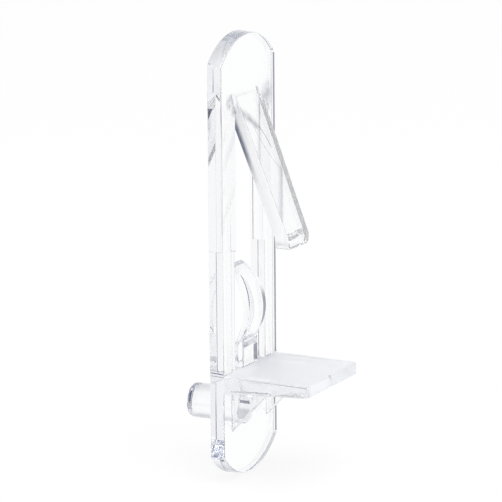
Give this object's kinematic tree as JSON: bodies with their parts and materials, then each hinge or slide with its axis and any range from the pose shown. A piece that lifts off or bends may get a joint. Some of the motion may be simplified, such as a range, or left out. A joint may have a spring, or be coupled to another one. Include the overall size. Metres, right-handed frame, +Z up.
{
  "type": "shelf support pin",
  "caption": "Clear moulded shelf support with a round peg at the back, a gusseted ledge under the shelf, a snap tongue above it and a bowed leaf spring in the plate's window.",
  "frame": {"origin": "peg axis where it meets the plate's back face", "axes": "+X across the plate, +Y along the peg into the cabinet side (the ledge reaches towards -Y), +Z up"},
  "size_m": [0.0162, 0.0229, 0.0635],
  "materials": {
    "clear_plastic": "clear moulded polycarbonate, polished"
  },
  "bodies": {
    "root": {"shelf_pin": "clear_plastic"}
  },
  "joints": []
}
